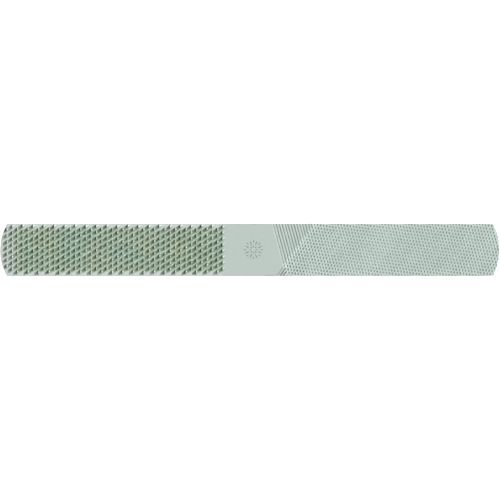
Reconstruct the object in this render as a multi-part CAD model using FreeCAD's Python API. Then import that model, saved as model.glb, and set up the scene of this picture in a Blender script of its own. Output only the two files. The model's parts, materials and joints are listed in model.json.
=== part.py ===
"""Four-way hand rasp: one hardened steel bar with a flat face and a half-round belly.

The -X half is struck with single rasp teeth, the +X half is cut as a double-cut file, and a
plain land between them carries a punched mark. Millimetres, +Z out of the flat face, the
belly downwards. Z = 0 is the plane that touches the lowest tooth tips of the belly.
"""
import FreeCAD, Part
import math
import os

Vector = FreeCAD.Vector
X_AXIS = Vector(1, 0, 0)
Z_AXIS = Vector(0, 0, 1)

# Bar
length = 203.2                      # 8 inches
width = 21.3
thickness = 6.2                     # flat face to belly crown, on the plain land
edge_height = 1.9                   # straight part of the two long edges
end_radius = 22.8                   # both ends are arcs in plan
corner_radius = 0.8                 # plan rounding where an end meets a long edge
edge_break = 0.2                    # chamfer round the flat face

# Rasp teeth. A tooth is a wall across the bar, a pit in front of it and a raised back behind it.
column_pitch = 2.143                # along the bar
column_count = 42
first_wall_x = -99.0                # the wall of the column nearest the -X end
row_pitch = 2.45                    # across the flat face
flat_rows = 8
even_column_y = -0.35               # middle of the even columns on the flat face
odd_column_y = 0.95                 # middle of the odd columns
belly_rows = 8
belly_row_pitch = 2.6               # measured round the curve
belly_stagger = 0.65                # how far the even columns sit to +Y, and the odd ones to -Y
tooth_height = 0.7
tooth_half_width = 0.82
tooth_back = 1.85                   # from the wall to the end of the raised back
tooth_root = 0.06                   # how far a tooth's underside is sunk into the bar
pit_length = 1.7
pit_half_width = 0.72
pit_depth = 0.58
cutter_rise = 0.3                   # how far a pit cutter stands above the surface
end_margin = 0.9                    # least metal between a wall and the end of the bar
rasp_relief = 0.08                  # the struck part of the flat face is ground this much lower
rasp_zone_end = -9.0                # where the relief stops and the plain land begins

# File cuts. Each set is straight V grooves; slope is the change of X for one millimetre of Y.
overcut_start = 11.96               # X of the first groove on the centre line
overcut_pitch = 1.201               # along the bar
overcut_slope = -0.2708
overcut_depth = 0.36
overcut_width = 0.92
upcut_start = 18.5
upcut_pitch = 1.371
upcut_slope = 0.7373
upcut_depth = 0.32
upcut_width = 0.86
cut_lean = 0.28                     # the groove's bottom sits this share of its width off centre
cut_overrun = 3.0                   # how far a groove cutter passes the bar
groove_rise = 0.12                  # how far a groove cutter stands above the surface
belly_overcut_start = 12.11         # X of the first groove on the belly's crown
belly_sweep = 52.0                  # degrees each side of the crown swept by a belly groove

# Punched mark on the land: a plain burst of strokes
mark_x = 1.4
mark_strokes = 8
mark_inner_radius = 1.5
mark_outer_radius = 4.1
mark_stroke_width = 0.5
mark_depth = 0.18

# Derived
half_length = length / 2
half_width = width / 2
sagitta = thickness - edge_height
belly_radius = (half_width ** 2 + sagitta ** 2) / (2 * sagitta)
belly_axis_z = (belly_radius + tooth_height) * math.cos(belly_stagger / belly_radius)
crown_z = belly_axis_z - belly_radius
flat_z = crown_z + thickness
edge_bottom_z = flat_z - edge_height


def end_inset(y):
    """How far the rounded end lies inside the bar's full length at this distance from the middle."""
    return end_radius - math.sqrt(end_radius ** 2 - y ** 2)


def solid_from(points, triangles):
    """A closed solid from corner points and the triangles that join them."""
    faces = [Part.Face(Part.makePolygon([points[i] for i in tri + tri[:1]])) for tri in triangles]
    solid = Part.Solid(Part.Shell(faces))
    if solid.Volume < 0:
        solid.reverse()
    return solid


def tetrahedron(points):
    return solid_from(points, [(0, 1, 2), (0, 1, 3), (1, 2, 3), (2, 0, 3)])


def section_face():
    """The D-shaped section at the -X end: flat top, short straight edges, round belly."""
    top_left = Vector(-half_length, -half_width, flat_z)
    top_right = Vector(-half_length, half_width, flat_z)
    low_left = Vector(-half_length, -half_width, edge_bottom_z)
    low_right = Vector(-half_length, half_width, edge_bottom_z)
    crown = Vector(-half_length, 0, crown_z)
    edges = [
        Part.LineSegment(top_left, top_right).toShape(),
        Part.LineSegment(top_right, low_right).toShape(),
        Part.Arc(low_right, crown, low_left).toShape(),
        Part.LineSegment(low_left, top_left).toShape(),
    ]
    return Part.Face(Part.Wire(edges))


def plan_prism():
    """The bar's outline from above as a tall prism: two straight edges and two arc ends."""
    inset = end_inset(half_width)
    corners = [Vector(sx * (half_length - inset), sy * half_width, 0)
               for sx, sy in ((-1, -1), (1, -1), (1, 1), (-1, 1))]
    edges = [
        Part.LineSegment(corners[0], corners[1]).toShape(),
        Part.Arc(corners[1], Vector(half_length, 0, 0), corners[2]).toShape(),
        Part.LineSegment(corners[2], corners[3]).toShape(),
        Part.Arc(corners[3], Vector(-half_length, 0, 0), corners[0]).toShape(),
    ]
    prism = Part.Face(Part.Wire(edges)).extrude(Vector(0, 0, flat_z + 1))
    uprights = [e for e in prism.Edges if abs(e.Vertexes[0].Z - e.Vertexes[-1].Z) > flat_z]
    return prism.makeFillet(corner_radius, uprights)


def blank():
    """The plain bar before any tooth is struck."""
    bar = section_face().extrude(Vector(length, 0, 0)).common(plan_prism())
    rim = [e for e in bar.Edges if all(abs(v.Z - flat_z) < 1e-6 for v in e.Vertexes)]
    return bar.makeChamfer(edge_break, rim)


def relief():
    """The thin layer ground off the flat face where the rasp teeth stand."""
    size = Vector(half_length + rasp_zone_end, width, rasp_relief)
    corner = Vector(-half_length, -half_width, flat_z - rasp_relief)
    return Part.makeBox(size.x, size.y, size.z, corner)


def raised_tooth():
    """One tooth at the origin, on a surface at Z = 0: upright wall facing -X, sloping back."""
    return tetrahedron([
        Vector(0, -tooth_half_width, -tooth_root),
        Vector(0, tooth_half_width, -tooth_root),
        Vector(0, 0, tooth_height),
        Vector(tooth_back, 0, -tooth_root),
    ])


def pit_cutter():
    """The V-shaped pit in front of a wall, with its cutter continued above the surface."""
    grow = (pit_depth + cutter_rise) / pit_depth
    return tetrahedron([
        Vector(-pit_length * grow, 0, cutter_rise),
        Vector(0, -pit_half_width * grow, cutter_rise),
        Vector(0, pit_half_width * grow, cutter_rise),
        Vector(0, 0, -pit_depth),
    ])


def flat_spots():
    """Where the walls stand on the flat face, as (x, y)."""
    spots = []
    for column in range(column_count):
        x = first_wall_x + column_pitch * column
        middle = odd_column_y if column % 2 else even_column_y
        for row in range(flat_rows):
            y = middle + row_pitch * (row - (flat_rows - 1) / 2)
            if x + half_length - end_inset(y) > end_margin:
                spots.append((x, y))
    return spots


def belly_spots():
    """Where the walls stand on the belly, as (x, angle in degrees round the belly's axis)."""
    spots = []
    for column in range(column_count):
        x = first_wall_x + column_pitch * column
        middle = -belly_stagger if column % 2 else belly_stagger
        for row in range(belly_rows):
            turn = (middle + belly_row_pitch * (row - (belly_rows - 1) / 2)) / belly_radius
            y = belly_radius * math.sin(turn)
            if x + half_length - end_inset(y) > end_margin:
                spots.append((x, math.degrees(turn)))
    return spots


def on_flat(tool, x, y):
    copy = tool.copy()
    copy.translate(Vector(x, y, flat_z - rasp_relief))
    return copy


def on_belly(tool, x, angle):
    """Turn a tool that points up so that it points out of the belly at this angle."""
    copy = tool.copy()
    copy.translate(Vector(x, 0, belly_radius))
    copy.rotate(Vector(0, 0, 0), X_AXIS, 180 + angle)
    copy.translate(Vector(0, 0, belly_axis_z))
    return copy


def strike(tool):
    """A copy of the tool at every tooth of both faces."""
    flat = [on_flat(tool, x, y) for x, y in flat_spots()]
    belly = [on_belly(tool, x, angle) for x, angle in belly_spots()]
    return flat + belly


def groove_profile(x, y, surface_z, groove_width, depth):
    """The V of a groove as a face square to Y, lying on a surface at this height."""
    grow = (depth + groove_rise) / depth
    low = Vector(x, y, surface_z - depth)
    left = low + Vector(-groove_width * (0.5 + cut_lean) * grow, 0, depth + groove_rise)
    right = low + Vector(groove_width * (0.5 - cut_lean) * grow, 0, depth + groove_rise)
    return Part.Face(Part.makePolygon([left, right, low, left]))


def flat_groove(x, slope, groove_width, depth):
    """A straight groove across the flat face that crosses the centre line at x."""
    reach = half_width + cut_overrun
    profile = groove_profile(x - slope * reach, -reach, flat_z, groove_width, depth)
    return profile.extrude(Vector(2 * slope * reach, 2 * reach, 0))


def groove_count(start, pitch, slope):
    """How many grooves it takes for the last one to leave the bar at the +X end."""
    return math.ceil((half_length - start + abs(slope) * half_width) / pitch)


def flat_grooves(start, pitch, slope, groove_width, depth):
    # The stated width is along the bar, so it holds for every slope.
    count = groove_count(start, pitch, slope)
    return [flat_groove(start + pitch * i, slope, groove_width, depth) for i in range(count)]


def belly_groove(x):
    """One overcut groove round the belly: a V turned about the belly's axis, then slanted."""
    profile = groove_profile(x, 0, belly_radius, overcut_width, overcut_depth)
    profile.rotate(Vector(0, 0, 0), X_AXIS, 180 - belly_sweep)
    ring = profile.revolve(Vector(0, 0, 0), X_AXIS, 2 * belly_sweep)
    ring.rotate(Vector(x, 0, 0), Z_AXIS, math.degrees(math.atan(overcut_slope)))
    ring.translate(Vector(0, 0, belly_axis_z))
    return ring


def belly_grooves():
    count = groove_count(belly_overcut_start, overcut_pitch, overcut_slope)
    return [belly_groove(belly_overcut_start + overcut_pitch * i) for i in range(count)]


def mark_stroke():
    """One punched stroke along +X: a boat shape with its top at the flat face and one lowest point."""
    half = mark_stroke_width / 2
    middle = (mark_inner_radius + mark_outer_radius) / 2
    points = [
        Vector(mark_inner_radius, 0, flat_z),
        Vector(mark_outer_radius, 0, flat_z),
        Vector(middle, half, flat_z),
        Vector(middle, -half, flat_z),
        Vector(middle, 0, flat_z - mark_depth),
    ]
    return solid_from(points, [(0, 2, 1), (0, 1, 3), (0, 4, 2), (2, 4, 1), (1, 4, 3), (3, 4, 0)])


def mark():
    """The strokes of the punched mark, turned about its centre."""
    strokes = []
    for i in range(mark_strokes):
        stroke = mark_stroke()
        stroke.rotate(Vector(0, 0, 0), Z_AXIS, 360 * (i + 0.5) / mark_strokes)
        stroke.translate(Vector(mark_x, 0, 0))
        strokes.append(stroke)
    return strokes


def rasp_bar():
    """The whole rasp, one piece of steel."""
    bar = blank().cut(relief())
    bar = bar.fuse(strike(raised_tooth()))
    bar = bar.cut(strike(pit_cutter()))
    bar = bar.cut(mark())
    bar = bar.cut(belly_grooves())
    bar = bar.cut(flat_grooves(overcut_start, overcut_pitch, overcut_slope, overcut_width, overcut_depth))
    bar = bar.cut(flat_grooves(upcut_start, upcut_pitch, upcut_slope, upcut_width, upcut_depth))
    return bar.Solids[0]


os.makedirs("parts", exist_ok=True)
bar = rasp_bar()
bar.exportStep("parts/rasp_bar.step")
print("rasp_bar", "valid", bar.isValid(), "faces", len(bar.Faces), "volume", round(bar.Volume, 1))
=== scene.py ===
"""The look of the four-way hand rasp: one steel bar, rasp-toothed on one half, file-cut on the other.

The bar is built here again in fine detail round the frame's sizes: a plain blank, then every tooth
struck and every file cut carved with its own small unevenness. Lengths are in millimetres until
the mesh is finished, and are then turned into the frame's metres.
"""
import json
import math
import random

import bmesh
import bpy
from mathutils import Matrix, Vector


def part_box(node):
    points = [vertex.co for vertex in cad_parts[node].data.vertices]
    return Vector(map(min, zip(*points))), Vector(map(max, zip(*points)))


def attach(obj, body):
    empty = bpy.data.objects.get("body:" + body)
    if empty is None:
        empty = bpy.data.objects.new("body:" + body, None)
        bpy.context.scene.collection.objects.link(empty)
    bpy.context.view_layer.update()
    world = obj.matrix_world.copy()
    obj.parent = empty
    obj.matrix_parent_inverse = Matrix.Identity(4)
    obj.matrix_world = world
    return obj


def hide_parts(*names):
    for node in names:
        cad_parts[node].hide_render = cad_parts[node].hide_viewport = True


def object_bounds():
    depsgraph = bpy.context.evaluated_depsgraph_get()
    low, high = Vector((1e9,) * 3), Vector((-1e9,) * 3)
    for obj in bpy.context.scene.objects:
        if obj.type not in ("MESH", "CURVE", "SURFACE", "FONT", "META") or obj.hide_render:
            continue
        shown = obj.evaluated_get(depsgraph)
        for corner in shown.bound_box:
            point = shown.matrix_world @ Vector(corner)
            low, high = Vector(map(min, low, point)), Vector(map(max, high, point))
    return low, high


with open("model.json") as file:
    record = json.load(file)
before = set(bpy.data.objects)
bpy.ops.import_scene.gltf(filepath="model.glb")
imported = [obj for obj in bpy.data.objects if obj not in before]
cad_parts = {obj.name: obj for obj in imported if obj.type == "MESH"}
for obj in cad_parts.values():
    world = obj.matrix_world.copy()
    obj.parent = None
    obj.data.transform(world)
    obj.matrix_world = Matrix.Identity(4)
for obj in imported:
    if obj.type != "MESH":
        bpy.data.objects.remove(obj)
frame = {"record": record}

CAD_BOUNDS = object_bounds()
MM = 0.001

# Sizes read from the frame
LOW, HIGH = [[value / MM for value in corner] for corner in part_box("rasp_bar")]
LENGTH = HIGH[0] - LOW[0]
HALF_LENGTH = LENGTH / 2
HALF_WIDTH = (HIGH[1] - LOW[1]) / 2
MOUNTS = {mount["name"]: mount for mount in frame["record"]["mounts"]}
LAND_Z = MOUNTS["plain_land"]["pos_m"][2] / MM

# Blank
THICKNESS = 6.2
EDGE_HEIGHT = 1.9
SAGITTA = THICKNESS - EDGE_HEIGHT
BELLY_RADIUS = (HALF_WIDTH ** 2 + SAGITTA ** 2) / (2 * SAGITTA)
BELLY_AXIS_Z = LAND_Z - THICKNESS + BELLY_RADIUS
MIDDLE_Z = LAND_Z - EDGE_HEIGHT / 2
END_RADIUS = 22.8
PLAN_CORNER = 0.45
EDGE_ROUND = 0.22
END_ROUND = 0.3
STATIONS = 44
CORNER_TURNS = (0, math.pi / 6, math.pi / 3, math.pi / 2)

# Rasp teeth
COLUMN_PITCH = 2.143
COLUMN_COUNT = 42
FIRST_WALL_X = -99.0
ROW_PITCH = 2.45
FLAT_ROWS = 8
EVEN_COLUMN_Y = -0.35
ODD_COLUMN_Y = 0.95
BELLY_ROWS = 8
BELLY_ROW_PITCH = 2.6
BELLY_STAGGER = 0.65
TOOTH_HEIGHT = 0.7
END_MARGIN = 0.9
PIT_LENGTH = 1.45
PIT_HALF_WIDTH = 0.9
PIT_DEPTH = 0.72
TAIL_HALF_WIDTH = 0.95
TAIL_DEPTH = 0.3
TAIL_SLOPE = 0.9
TAIL_DROP = 0.4
PIT_RISE = 0.45
PIT_STEPS = 4
MOUND_BACK = 1.95
MOUND_HALF_WIDTH = 1.12
MOUND_ROOT = 0.12
TOOTH_LEAN = 0.1
TOOTH_SKEW = 0.36
TOOTH_SHIFT = -0.1
ARCH_STEPS = 6
ARCH_POWER = 1.3
BACK_STEPS = 3
BACK_NARROWING = 0.75
BACK_FALL = 1.25
PIT_POWER = 1.15
COLUMN_WOBBLE = 0.17
WOBBLE_PERIOD = 5
WOBBLE_START = 0.65
ALONG_SPREAD = 0.035
ACROSS_SPREAD = 0.05
SKEW_SPREAD = 0.05
TOOTH_SIZES = (0.94, 1.0)
PIT_DEPTHS = (0.9, 1.08)
RASP_RELIEF = 0.08
EDGE_CLEAR = 0.04

# Punched mark: rings of strokes, each from an inner to an outer radius and turned by a share of a step
MARK_X = 1.4
MARK_STROKES = 8
MARK_RINGS = ((1.5, 4.1, 0.0), (2.7, 4.1, 0.5), (0.75, 1.75, 0.5))
MARK_WIDTH = 0.55
MARK_DEPTH = 0.2
MARK_TAPER = 0.4
TOOL_RISE = 0.02
GRIND_RISE = 0.01

# Facets ground on the land's long edges: side, middle, half length, bite in plan, depth
EDGE_GRINDS = ((1, 2.0, 3.0, 0.45, 0.8), (-1, 7.2, 5.6, 0.45, 0.5))

# Shading
SHARP_ANGLE = 28
LEVEL = 0.99995
DEEPEST = 1.2

# File cuts
OVERCUT = {"start": 11.96, "pitch": 1.201, "slope": -0.2708, "width": 1.0, "depth": 0.36}
UPCUT = {"start": 18.5, "pitch": 1.371, "slope": 0.7373, "width": 1.14, "depth": 0.4}
CUT_LEAN = 0.2
CUT_RISE = 0.1
CUT_OVERRUN = 1.8
FLAT_STATIONS = 2
BELLY_STATIONS = 1
CROSS_MEAN = 0.68
CROSS_SWING = 0.64
SINGLE_CUT_SHARE = 0.7
FIRST_CUT_DEPTH = 0.6
FIRST_CROSSING = -0.4
CUT_DEPTHS = (0.9, 1.08)
CUT_DRIFT = 0.03
CUT_TURN = 0.002
CUT_DEPTH_SPREAD = 0.015
CUT_WAVER = 0.018

# Colours of the steel from this far below the blank's surface to as far above it: painted shade darkening
# the pits and cuts with depth, and a painted highlight paling the raised tooth tips
RELIEF_SPAN = 0.6
STEEL_SHADE_AND_HIGHLIGHT_BY_DEPTH = (
    (0.0, (0.13, 0.17, 0.13)),
    (0.15, (0.20, 0.24, 0.21)),
    (0.3, (0.275, 0.315, 0.29)),
    (0.5, (0.325, 0.37, 0.352)),
    (0.62, (0.36, 0.405, 0.38)),
    (0.8, (0.46, 0.51, 0.49)),
)
RASP_TINTS = ((0.3, (0.86, 0.98, 0.87)), (0.7, (0.97, 0.99, 0.80)))
RASP_TINT_RIGHT = (-12.6, -10.4)
RASP_TINT_LEFT = (93.0, 98.5)
RASP_TINT_Y = (7.8, 9.4)
# Random flecks over the rasp teeth: the darker ones are random tone, the paler ones are painted glints
RASP_SPECKLE_AND_GLINTS = ((0.35, (0.8, 0.8, 0.8)), (0.65, (1.17, 1.17, 1.17)))
FILE_LIFT = (1.4, 1.4, 1.4)
RASP_EDGE_LIFT = (1.14, 1.12, 1.1)
CLOUD_SHADES = ((0.3, (0.93, 0.96, 0.93)), (0.7, (1.0, 1.0, 1.0)))
CLOUD_SCALE = 60.0
CAST_SCALE = 90.0
SPECKLE_SCALE = 1500.0
GRIND_SHADES = ((0.35, (0.95, 0.95, 0.95)), (0.65, (1.0, 1.0, 1.0)))
GRIND_SCALE = 900.0
GRIND_STRETCH = (1, 14, 1)
EVEN = (1, 1, 1)
STEEL_ROUGHNESS = (0.4, 0.58)
GRIT_SCALE = 5000.0
GRIT_BUMP = {"Strength": 0.25, "Distance": 0.00003}

# Studio
FLOOR_SIZE = 3.0
FLOOR_GLOW = 0.3
FLOOR_GRAIN = 400.0
FLOOR_SHADES = ((0.3, (0.93, 0.93, 0.93)), (0.7, (0.95, 0.95, 0.95)))
SURROUND_DIM = 0.3
SURROUND_BRIGHT = 2.4
KEY_FROM = (0.8, 0.6, 0.8)
KEY_POWER = 2.0
KEY_DISTANCE = 1.2
KEY_SIZE = 0.5
SURROUND_START = -0.5
CAMERA_HEIGHT = 0.6
FRAME_MARGIN = 1.0018
CENTRE_DROP = 0.0001

random.seed(8)


def end_x(y):
    """Half the bar's length at this distance from its middle line, with rounded plan corners."""
    x = HALF_LENGTH - END_RADIUS + math.sqrt(END_RADIUS ** 2 - y ** 2)
    over = abs(y) - (HALF_WIDTH - PLAN_CORNER)
    if over > 0:
        x -= PLAN_CORNER - math.sqrt(max(PLAN_CORNER ** 2 - over ** 2, 0))
    return x


def edge_drop(y):
    """How far the flat face rounds down next to a long edge."""
    over = abs(y) - (HALF_WIDTH - EDGE_ROUND)
    if over <= 0:
        return 0.0
    return EDGE_ROUND - math.sqrt(max(EDGE_ROUND ** 2 - over ** 2, 0))


def belly_z(y):
    return BELLY_AXIS_Z - math.sqrt(BELLY_RADIUS ** 2 - y ** 2)


def station_loop(y):
    """The bar's outline in the plane at this y: a long rectangle with rounded corners."""
    top = LAND_Z - edge_drop(y)
    bottom = belly_z(y)
    reach = end_x(y)
    quarter = [(END_ROUND * (1 - math.sin(a)), END_ROUND * (1 - math.cos(a)))
               for a in CORNER_TURNS]
    loop = []
    for inset, drop in quarter:
        loop.append((reach - inset, y, top - drop))
    for inset, drop in reversed(quarter):
        loop.append((reach - inset, y, bottom + drop))
    for inset, drop in quarter:
        loop.append((-reach + inset, y, bottom + drop))
    for inset, drop in reversed(quarter):
        loop.append((-reach + inset, y, top - drop))
    return loop


def blank_mesh():
    """The plain bar as loops set side by side across its width."""
    ys = []
    for i in range(STATIONS + 1):
        ys.append(HALF_WIDTH * math.sin(math.pi * (i / STATIONS - 0.5)))
    points, faces = [], []
    for y in ys:
        points += station_loop(y)
    size = len(points) // len(ys)
    for i in range(len(ys) - 1):
        for j in range(size):
            k = (j + 1) % size
            faces.append((i * size + j, i * size + k, (i + 1) * size + k, (i + 1) * size + j))
    faces.append(tuple(reversed(range(size))))
    faces.append(tuple(range(len(points) - size, len(points))))
    return points, faces


def on_flat(x, across, height):
    return (x, across, LAND_Z + height)


def on_struck_flat(x, across, height):
    """A point over the half of the flat face that is ground a little lower for the rasp teeth."""
    edge = HALF_WIDTH - EDGE_CLEAR
    return (x, max(-edge, min(edge, across)), LAND_Z - RASP_RELIEF + height)


def on_belly(x, across, height):
    """A point above the belly: across runs round its curve, height is out of it."""
    angle = across / BELLY_RADIUS
    reach = BELLY_RADIUS + height
    return (x, -reach * math.sin(angle), BELLY_AXIS_Z - reach * math.cos(angle))


def add_tool(group, tool, place):
    """Append one tool to a group of tools, with every point sent through place."""
    points, faces = tool
    start = len(group[0])
    group[0].extend(place(*point) for point in points)
    group[1].extend(tuple(start + i for i in face) for face in faces)


def trough_points(half_width, depth, end_x_at_bottom, end_slope):
    """A rounded V from side to side, continued above the surface at the same slope."""
    grow = (depth + PIT_RISE) / depth
    flare = min(half_width * grow, half_width + PIT_RISE * PIT_HALF_WIDTH / PIT_DEPTH)
    points = []
    for i in range(PIT_STEPS + 1):
        side = 2 * i / PIT_STEPS - 1
        level = abs(side) ** PIT_POWER * (depth + PIT_RISE) - depth
        points.append((end_x_at_bottom - end_slope * (level + depth), side * flare, level))
    return points


def pit_tool():
    """The pit: a trough that widens and deepens to the wall at x = 0, from a shallow low tail."""
    tail = [(x, y - TAIL_DROP, z)
            for x, y, z in trough_points(TAIL_HALF_WIDTH, TAIL_DEPTH, -PIT_LENGTH, TAIL_SLOPE)]
    wall = trough_points(PIT_HALF_WIDTH, PIT_DEPTH, 0.0, 0.0)
    size = len(tail)
    faces = [(i, i + 1, size + i + 1, size + i) for i in range(size - 1)]
    faces.append((0, size, 2 * size - 1, size - 1))
    faces.append(tuple(reversed(range(size))))
    faces.append(tuple(range(size, 2 * size)))
    return tail + wall, faces


def mound_tool():
    """The raised tooth: a pointed arch at the wall that sinks away behind it."""
    points, faces = [], []
    for b in range(BACK_STEPS):
        u = b / BACK_STEPS
        half = MOUND_HALF_WIDTH * (1 - u) ** BACK_NARROWING
        top = TOOTH_HEIGHT * (1 - u) ** BACK_FALL
        for i in range(ARCH_STEPS + 1):
            side = 2 * i / ARCH_STEPS - 1
            level = (1 - abs(side) ** ARCH_POWER) * top - MOUND_ROOT * abs(side)
            points.append((MOUND_BACK * u, side * half, level))
        points.append((MOUND_BACK * u, half, -2 * MOUND_ROOT))
        points.append((MOUND_BACK * u, -half, -2 * MOUND_ROOT))
    size = ARCH_STEPS + 3
    for b in range(BACK_STEPS - 1):
        for i in range(size):
            k = (i + 1) % size
            faces.append((b * size + i, (b + 1) * size + i, (b + 1) * size + k, b * size + k))
    tail = len(points)
    points.append((MOUND_BACK, 0.0, -MOUND_ROOT))
    last = (BACK_STEPS - 1) * size
    for i in range(size):
        faces.append((last + i, tail, last + (i + 1) % size))
    faces.append(tuple(range(size)))
    return points, faces


def wobble(column):
    """The punch's slow drift across the bar from column to column."""
    return -COLUMN_WOBBLE * math.cos(2 * math.pi * (column - WOBBLE_START) / WOBBLE_PERIOD)


def flat_spots():
    spots = []
    for column in range(COLUMN_COUNT):
        middle = ODD_COLUMN_Y if column % 2 else EVEN_COLUMN_Y
        for row in range(FLAT_ROWS):
            spots.append((column, row, middle + ROW_PITCH * (row - (FLAT_ROWS - 1) / 2)))
    return spots


def belly_spots():
    spots = []
    for column in range(COLUMN_COUNT):
        middle = BELLY_STAGGER if column % 2 else -BELLY_STAGGER
        for row in range(BELLY_ROWS):
            spots.append((column, row, middle + BELLY_ROW_PITCH * (row - (BELLY_ROWS - 1) / 2)))
    return spots


def strike(spots, surface):
    """The raised teeth of one face and its pits, in groups whose members don't touch."""
    mounds = [([], []) for _ in range(2)]
    pits = [([], []) for _ in range(4)]
    for column, row, across in spots:
        x = FIRST_WALL_X + COLUMN_PITCH * column + random.gauss(0, ALONG_SPREAD)
        across += TOOTH_SHIFT + wobble(column) + random.gauss(0, ACROSS_SPREAD)
        size = random.uniform(*TOOTH_SIZES)
        skew = TOOTH_SKEW + random.gauss(0, SKEW_SPREAD)
        depth = random.uniform(*PIT_DEPTHS)
        if x + end_x(across) < END_MARGIN:
            continue

        def place(px, py, pz, x=x, across=across, size=size, skew=skew):
            return surface(x + px * size - TOOTH_LEAN * pz, across + py * size + skew * px, pz * size)

        def place_pit(px, py, pz, x=x, across=across, size=size, skew=skew, depth=depth):
            level = pz * depth
            return surface(x + px * size - TOOTH_LEAN * level, across + py * size + skew * px, level)

        add_tool(mounds[column % 2], mound_tool(), place)
        add_tool(pits[column % 2 * 2 + row % 2], pit_tool(), place_pit)
    return mounds, pits


def crossing_depth(cut, other, x, across):
    """A cut's depth here: even before the other cuts begin, then deep at each crossing of them."""
    phase = (x - other["slope"] * across - other["start"]) / other["pitch"]
    if phase < FIRST_CROSSING:
        return cut["depth"] * SINGLE_CUT_SHARE
    return cut["depth"] * (CROSS_MEAN + CROSS_SWING * math.cos(2 * math.pi * phase))


def groove_tool(cut, other, index, surface, stations):
    """One file cut as a bent prism, with this many stations for each crossing of the other cuts."""
    start = cut["start"] + cut["pitch"] * index
    scale = random.uniform(*CUT_DEPTHS) * (1 if index else FIRST_CUT_DEPTH)
    drift = random.gauss(0, CUT_DRIFT)
    turn = random.gauss(0, CUT_TURN)
    reach = HALF_WIDTH + CUT_OVERRUN
    closing = cut["slope"] - other["slope"]
    first_phase = (start - other["start"] - closing * reach) / other["pitch"]
    last_phase = (start - other["start"] + closing * reach) / other["pitch"]
    low, high = sorted((first_phase, last_phase))
    points, faces = [], []
    for step in range(math.floor(stations * low), math.ceil(stations * high) + 1):
        across = (other["pitch"] * step / stations + other["start"] - start) / closing
        x = start + cut["slope"] * across
        depth = crossing_depth(cut, other, x, across) * scale + random.gauss(0, CUT_DEPTH_SPREAD)
        top = x + drift + turn * across + random.gauss(0, CUT_WAVER)
        half = cut["width"] / 2
        points.append(surface(top + CUT_LEAN * cut["width"], across, -depth))
        points.append(surface(top + half, across, CUT_RISE))
        points.append(surface(top - half, across, CUT_RISE))
    for i in range(len(points) // 3 - 1):
        for j in range(3):
            k = (j + 1) % 3
            faces.append((3 * i + j, 3 * i + k, 3 * i + 3 + k, 3 * i + 3 + j))
    faces.append((2, 1, 0))
    faces.append(tuple(range(len(points) - 3, len(points))))
    if closing < 0:
        return points, faces
    return points, [tuple(reversed(face)) for face in faces]


def file_cuts(cut, other, surface, stations):
    """All cuts of one direction on one face, in two groups that don't touch."""
    count = math.ceil((HALF_LENGTH - cut["start"] + abs(cut["slope"]) * HALF_WIDTH) / cut["pitch"])
    groups = [([], []), ([], [])]
    for index in range(count):
        groove = groove_tool(cut, other, index, surface, stations)
        add_tool(groups[index % 2], groove, lambda *point: point)
    return groups


def mark_strokes():
    """A plain burst of strokes punched in the land."""
    group = ([], [])
    half = MARK_WIDTH / 2
    faces = [(0, 3, 1), (0, 1, 2), (0, 2, 4), (2, 1, 4), (1, 3, 4), (3, 0, 4)]
    for near, far, share in MARK_RINGS:
        middle = (near + far) / 2
        for i in range(MARK_STROKES):
            turn = 2 * math.pi * (i + 0.5 + share) / MARK_STROKES
            width = min(half, MARK_TAPER * near)
            local = [(near, 0, TOOL_RISE), (far, 0, TOOL_RISE), (middle, width, TOOL_RISE),
                     (middle, -width, TOOL_RISE), (middle, 0, -MARK_DEPTH)]
            points = [(MARK_X + x * math.cos(turn) - y * math.sin(turn),
                       x * math.sin(turn) + y * math.cos(turn), LAND_Z + z) for x, y, z in local]
            add_tool(group, (points, faces), lambda *point: point)
    return group


def edge_grinds():
    """Two shallow facets ground on the long edges of the land, as flat wedges."""
    grinds = []
    for side, middle, half_length, bite, depth in EDGE_GRINDS:
        edge = side * HALF_WIDTH
        inner = edge - side * bite
        outer = edge + side * GRIND_RISE
        points = [
            (middle - half_length, outer, LAND_Z + GRIND_RISE),
            (middle + half_length, outer, LAND_Z + GRIND_RISE),
            (middle, inner, LAND_Z + GRIND_RISE),
            (middle, outer, LAND_Z - depth),
        ]
        faces = [(0, 2, 1), (0, 1, 3), (1, 2, 3), (2, 0, 3)]
        if side < 0:
            faces = [tuple(reversed(face)) for face in faces]
        grinds.append((points, faces))
    return grinds


def mesh_of(name, shape):
    mesh = bpy.data.meshes.new(name)
    mesh.from_pydata(shape[0], [], shape[1])
    return mesh


def carve(target, shape, operation):
    """Add a shape to the target or cut it away, and keep the result as the target's mesh."""
    tool = bpy.data.objects.new("tool", mesh_of("tool", shape))
    bpy.context.scene.collection.objects.link(tool)
    step = target.modifiers.new("carve", "BOOLEAN")
    step.solver = "MANIFOLD"
    step.operation = operation
    step.object = tool
    graph = bpy.context.evaluated_depsgraph_get()
    result = bpy.data.meshes.new_from_object(target.evaluated_get(graph))
    target.modifiers.clear()
    target.data = result
    bpy.data.objects.remove(tool)


def drop_crumbs(mesh):
    """Delete loose slivers that the cutters leave beside the bar."""
    work = bmesh.new()
    work.from_mesh(mesh)
    unseen = set(work.verts)
    islands = []
    while unseen:
        stack = [unseen.pop()]
        island = list(stack)
        while stack:
            for edge in stack.pop().link_edges:
                for vertex in edge.verts:
                    if vertex in unseen:
                        unseen.remove(vertex)
                        stack.append(vertex)
                        island.append(vertex)
        islands.append(island)
    islands.sort(key=len)
    for island in islands[:-1]:
        bmesh.ops.delete(work, geom=island, context="VERTS")
    work.to_mesh(mesh)
    work.free()


def note_heights(mesh):
    """Store each point's height over the blank's surface, in millimetres."""
    heights = mesh.attributes.new("relief", "FLOAT", "POINT")
    for vertex, height in zip(mesh.vertices, heights.data):
        x, y, z = vertex.co
        if z > MIDDLE_Z:
            height.value = z - LAND_Z
        else:
            height.value = math.hypot(y, z - BELLY_AXIS_Z) - BELLY_RADIUS
        if height.value < -DEEPEST:
            height.value = 0.0


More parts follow.
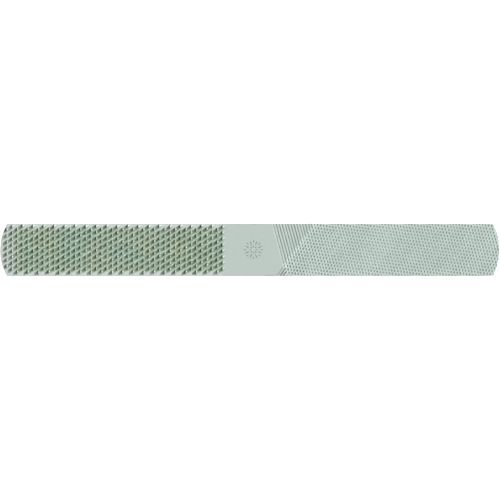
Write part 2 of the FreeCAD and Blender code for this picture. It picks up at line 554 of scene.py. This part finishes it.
def shade(mesh):
    """Smooth curves, sharp tool edges, and a flat face that stays flat up to the teeth."""
    mesh.shade_smooth()
    mesh.set_sharp_from_angle(angle=math.radians(SHARP_ANGLE))
    work = bmesh.new()
    work.from_mesh(mesh)
    for edge in work.edges:
        level = [face.normal.z > LEVEL for face in edge.link_faces]
        if any(level) and not all(level):
            edge.smooth = False
    work.to_mesh(mesh)
    work.free()


def rasp_piece():
    bar = bpy.data.objects.new("rasp_steel", mesh_of("rasp_steel", blank_mesh()))
    bpy.context.scene.collection.objects.link(bar)
    faces = ((flat_spots(), on_struck_flat, on_flat, FLAT_STATIONS),
             (belly_spots(), on_belly, on_belly, BELLY_STATIONS))
    for spots, struck_surface, surface, stations in faces:
        mounds, pits = strike(spots, struck_surface)
        for group in mounds:
            carve(bar, group, "UNION")
        for group in pits:
            carve(bar, group, "DIFFERENCE")
        for cut, other in ((OVERCUT, UPCUT), (UPCUT, OVERCUT)):
            for group in file_cuts(cut, other, surface, stations):
                carve(bar, group, "DIFFERENCE")
    carve(bar, mark_strokes(), "DIFFERENCE")
    for grind in edge_grinds():
        carve(bar, grind, "DIFFERENCE")
    drop_crumbs(bar.data)
    note_heights(bar.data)
    bar.data.transform(Matrix.Scale(MM, 4))
    shade(bar.data)
    return bar


def node(tree, kind, **settings):
    """Add a shader node and set its plain values: sockets by name, the rest as attributes."""
    made = tree.nodes.new(kind)
    for name, value in settings.items():
        if name in made.inputs:
            made.inputs[name].default_value = value
        else:
            setattr(made, name, value)
    return made


def ramp(tree, stops):
    """A colour ramp from a list of (position, colour)."""
    made = tree.nodes.new("ShaderNodeValToRGB")
    points = made.color_ramp.elements
    while len(points) < len(stops):
        points.new(0.5)
    for point, (position, colour) in zip(points, stops):
        point.position = position
        point.color = (*colour, 1)
    return made


def mapped_noise(tree, stretch, scale, detail=4.0):
    """Noise in the object's own space, stretched by a factor along each axis."""
    place = tree.nodes.new("ShaderNodeTexCoord")
    mapping = tree.nodes.new("ShaderNodeMapping")
    mapping.inputs["Scale"].default_value = stretch
    noise = node(tree, "ShaderNodeTexNoise", Scale=scale, Detail=detail)
    tree.links.new(place.outputs["Object"], mapping.inputs["Vector"])
    tree.links.new(mapping.outputs["Vector"], noise.inputs["Vector"])
    return noise


def mix(tree, kind, amount, first, second):
    """A colour mix of two links; amount is a number or a link."""
    made = node(tree, "ShaderNodeMix", data_type="RGBA", blend_type=kind)
    for socket, value in ((made.inputs[0], amount), (made.inputs[6], first), (made.inputs[7], second)):
        if isinstance(value, bpy.types.NodeSocket):
            tree.links.new(value, socket)
        else:
            socket.default_value = value
    return made.outputs[2]


def calc(tree, operation, *values):
    """A maths node on links and numbers."""
    made = node(tree, "ShaderNodeMath", operation=operation)
    for socket, value in zip(made.inputs, values):
        if isinstance(value, bpy.types.NodeSocket):
            tree.links.new(value, socket)
        else:
            socket.default_value = value
    return made.outputs[0]


def fade_out(tree, value, near, far):
    """1 up to near, falling softly to 0 at far; both in millimetres."""
    fade = node(tree, "ShaderNodeMapRange", interpolation_type="SMOOTHSTEP")
    fade.inputs["From Min"].default_value = near * MM
    fade.inputs["From Max"].default_value = far * MM
    fade.inputs["To Min"].default_value = 1
    fade.inputs["To Max"].default_value = 0
    tree.links.new(value, fade.inputs["Value"])
    return fade.outputs["Result"]


def rasp_zones(tree, x, y):
    """Where the steel round the rasp teeth has its green cast, and its paler rim at the end and edges."""
    right = fade_out(tree, x, *RASP_TINT_RIGHT)
    left = fade_out(tree, calc(tree, "MULTIPLY", x, -1), *RASP_TINT_LEFT)
    across = fade_out(tree, calc(tree, "ABSOLUTE", y), *RASP_TINT_Y)
    inner = calc(tree, "MULTIPLY", calc(tree, "MULTIPLY", left, right), across)
    return inner, calc(tree, "SUBTRACT", right, inner)


def file_zone(tree, x, y, z):
    """1 where file cuts of both directions have been made, seen from that face's own side."""
    upper = calc(tree, "GREATER_THAN", z, MIDDLE_Z * MM)
    across = calc(tree, "MULTIPLY", y, calc(tree, "MULTIPLY_ADD", upper, 2, -1))
    masks = []
    for cut in (OVERCUT, UPCUT):
        crossing = calc(tree, "MULTIPLY_ADD", across, -cut["slope"], x)
        masks.append(calc(tree, "GREATER_THAN", crossing, (cut["start"] - cut["width"] / 2) * MM))
    return calc(tree, "MINIMUM", *masks)


def steel_material():
    """Satin steel: painted shade making the pits dark and greenish, a painted highlight making the tooth
    tips pale, faint grinding lines and fine pitting.
    """
    material = bpy.data.materials.new("hardened_steel")
    material.use_nodes = True
    tree = material.node_tree
    shader = tree.nodes["Principled BSDF"]
    shader.inputs["Metallic"].default_value = 1.0

    relief = node(tree, "ShaderNodeAttribute", attribute_name="relief")
    level = node(tree, "ShaderNodeMapRange")
    level.inputs["From Min"].default_value = -RELIEF_SPAN
    level.inputs["From Max"].default_value = RELIEF_SPAN
    tree.links.new(relief.outputs["Fac"], level.inputs["Value"])
    # Colour set by height over the blank: painted shade deep in pits and cuts, painted highlight on the
    # raised tooth tips
    depth_shade_and_highlight = ramp(tree, STEEL_SHADE_AND_HIGHLIGHT_BY_DEPTH)
    tree.links.new(level.outputs["Result"], depth_shade_and_highlight.inputs["Fac"])

    cloud = mapped_noise(tree, EVEN, CLOUD_SCALE)
    cloud_colour = ramp(tree, CLOUD_SHADES)
    tree.links.new(cloud.outputs["Fac"], cloud_colour.inputs["Fac"])
    clouded = mix(tree, "MULTIPLY", 1.0, depth_shade_and_highlight.outputs["Color"], cloud_colour.outputs["Color"])

    place = tree.nodes.new("ShaderNodeTexCoord")
    split = tree.nodes.new("ShaderNodeSeparateXYZ")
    tree.links.new(place.outputs["Object"], split.inputs["Vector"])
    x, y, z = split.outputs
    cast = mapped_noise(tree, EVEN, CAST_SCALE, 2.0)
    cast_colour = ramp(tree, RASP_TINTS)
    tree.links.new(cast.outputs["Fac"], cast_colour.inputs["Fac"])
    in_rasp, on_rim = rasp_zones(tree, x, y)
    rimmed = mix(tree, "MULTIPLY", on_rim, clouded, (*RASP_EDGE_LIFT, 1))
    toothed = mix(tree, "MULTIPLY", in_rasp, rimmed, cast_colour.outputs["Color"])
    # Random flecks over the rasp zone, darker and paler; the paler flecks are painted glints
    speckle = mapped_noise(tree, EVEN, SPECKLE_SCALE, 2.0)
    speckle_colour = ramp(tree, RASP_SPECKLE_AND_GLINTS)
    tree.links.new(speckle.outputs["Fac"], speckle_colour.inputs["Fac"])
    speckle_and_glints = mix(tree, "MULTIPLY", in_rasp, toothed, speckle_colour.outputs["Color"])
    tinted = mix(tree, "MULTIPLY", file_zone(tree, x, y, z), speckle_and_glints, (*FILE_LIFT, 1))

    grind = mapped_noise(tree, GRIND_STRETCH, GRIND_SCALE, 2.0)
    grind_colour = ramp(tree, GRIND_SHADES)
    tree.links.new(grind.outputs["Fac"], grind_colour.inputs["Fac"])
    ground = mix(tree, "MULTIPLY", 1.0, tinted, grind_colour.outputs["Color"])
    tree.links.new(ground, shader.inputs["Base Color"])

    rough = node(tree, "ShaderNodeMapRange")
    rough.inputs["To Min"].default_value = STEEL_ROUGHNESS[0]
    rough.inputs["To Max"].default_value = STEEL_ROUGHNESS[1]
    tree.links.new(cloud.outputs["Fac"], rough.inputs["Value"])
    tree.links.new(rough.outputs["Result"], shader.inputs["Roughness"])

    grit = mapped_noise(tree, EVEN, GRIT_SCALE, 3.0)
    bump = node(tree, "ShaderNodeBump", **GRIT_BUMP)
    tree.links.new(grit.outputs["Fac"], bump.inputs["Height"])
    tree.links.new(bump.outputs["Normal"], shader.inputs["Normal"])
    return material


def floor_material():
    material = bpy.data.materials.new("paper")
    material.use_nodes = True
    tree = material.node_tree
    shader = tree.nodes["Principled BSDF"]
    shader.inputs["Roughness"].default_value = 0.9
    shader.inputs["Specular IOR Level"].default_value = 0.1
    grain = mapped_noise(tree, EVEN, FLOOR_GRAIN)
    colour = ramp(tree, FLOOR_SHADES)
    tree.links.new(grain.outputs["Fac"], colour.inputs["Fac"])
    tree.links.new(colour.outputs["Color"], shader.inputs["Base Color"])
    shader.inputs["Emission Color"].default_value = (1, 1, 1, 1)
    shader.inputs["Emission Strength"].default_value = FLOOR_GLOW
    return material


def floor_piece():
    mesh = bpy.data.meshes.new("floor")
    half = FLOOR_SIZE / 2
    corners = [(-half, -half, 0), (half, -half, 0), (half, half, 0), (-half, half, 0)]
    mesh.from_pydata(corners, [], [(0, 1, 2, 3)])
    floor = bpy.data.objects.new("floor", mesh)
    floor.location.z = CAD_BOUNDS[0].z
    bpy.context.scene.collection.objects.link(floor)
    floor.data.materials.append(floor_material())
    return floor


def area_light(name, direction, distance, size, power):
    """A square soft light that looks at the bar from a direction."""
    data = bpy.data.lights.new(name, "AREA")
    data.shape = "SQUARE"
    data.size = size
    data.energy = power
    light = bpy.data.objects.new(name, data)
    bpy.context.scene.collection.objects.link(light)
    aim = Vector(direction).normalized()
    light.location = aim * distance
    light.rotation_euler = aim.to_track_quat("Z", "Y").to_euler()


def studio():
    """A pale surround that is brighter towards the upper right, and one soft light from there."""
    world = bpy.data.worlds.new("surround")
    bpy.context.scene.world = world
    world.use_nodes = True
    tree = world.node_tree
    tree.nodes["Background"].inputs["Color"].default_value = (1, 1, 1, 1)
    place = tree.nodes.new("ShaderNodeTexCoord")
    towards = node(tree, "ShaderNodeVectorMath", operation="DOT_PRODUCT")
    towards.inputs[1].default_value = Vector(KEY_FROM).normalized()
    fall = node(tree, "ShaderNodeMapRange")
    fall.inputs["From Min"].default_value = SURROUND_START
    fall.inputs["To Min"].default_value = SURROUND_DIM
    fall.inputs["To Max"].default_value = SURROUND_BRIGHT
    tree.links.new(place.outputs["Generated"], towards.inputs[0])
    tree.links.new(towards.outputs["Value"], fall.inputs["Value"])
    tree.links.new(fall.outputs["Result"], tree.nodes["Background"].inputs["Strength"])
    area_light("key", KEY_FROM, KEY_DISTANCE, KEY_SIZE, KEY_POWER)
    bpy.context.scene.view_settings.view_transform = "Standard"


def camera():
    """Looks straight down on the flat face, with the bar as long as the picture is wide."""
    data = bpy.data.cameras.new("camera")
    data.type = "ORTHO"
    data.ortho_scale = LENGTH * MM * FRAME_MARGIN
    seat = bpy.data.objects.new("camera", data)
    seat.location = (0, -CENTRE_DROP, CAMERA_HEIGHT)
    bpy.context.scene.collection.objects.link(seat)
    bpy.context.scene.camera = seat


camera()
studio()
floor = floor_piece()

bar = rasp_piece()
bar.data.materials.clear()
bar.data.materials.append(steel_material())
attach(bar, "root")
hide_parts("rasp_bar")
